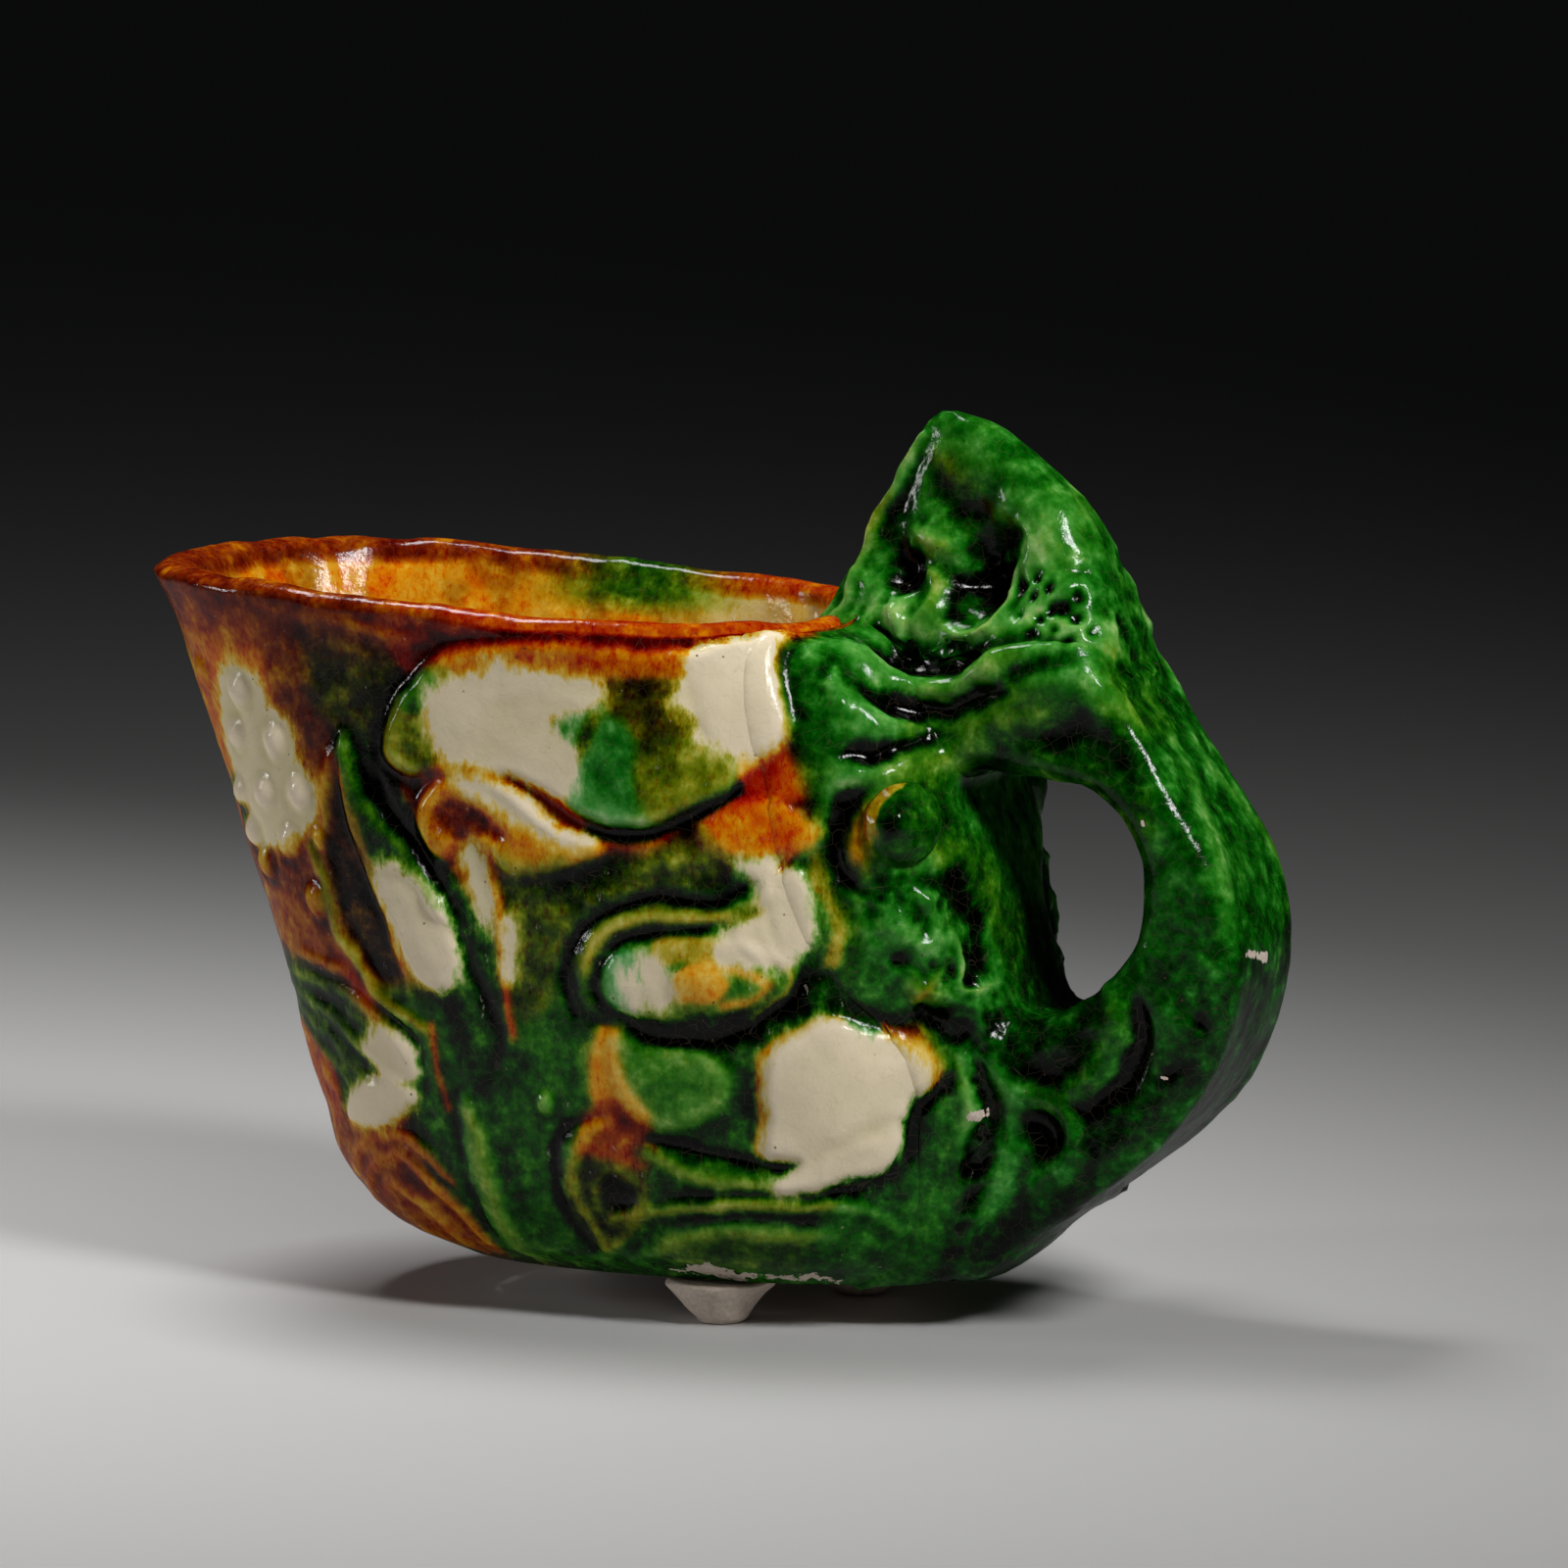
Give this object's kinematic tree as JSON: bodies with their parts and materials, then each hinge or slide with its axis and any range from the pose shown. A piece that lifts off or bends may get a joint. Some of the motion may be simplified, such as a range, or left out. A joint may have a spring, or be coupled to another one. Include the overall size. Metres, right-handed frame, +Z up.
{
  "type": "elephant-head cup",
  "caption": "Moulded earthenware cup in the shape of an elephant's head, with a long mouth, a pointed crest and the curled trunk as its handle, in amber, green and cream glaze.",
  "frame": {"origin": "On the surface the cup stands on, under the middle of its box.", "axes": "+X runs from the spout to the trunk handle, +Z is up, -Y is the near side in the picture."},
  "size_m": [0.1173, 0.0524, 0.0904],
  "materials": {
    "wall_glaze": "glossy run lead glaze, amber, green and cream",
    "green_glaze": "glossy run lead glaze, copper green",
    "bare_clay": "unglazed, matt"
  },
  "bodies": {
    "root": {"near_wall": "wall_glaze", "far_wall": "wall_glaze", "floor_slab": "bare_clay", "head_front": "green_glaze", "crest": "green_glaze", "trunk_handle": "green_glaze", "near_eye_boss": "green_glaze", "far_eye_boss": "green_glaze", "near_clay_pad": "bare_clay", "far_clay_pad": "bare_clay", "spout_clay_pad": "bare_clay"}
  },
  "joints": []
}
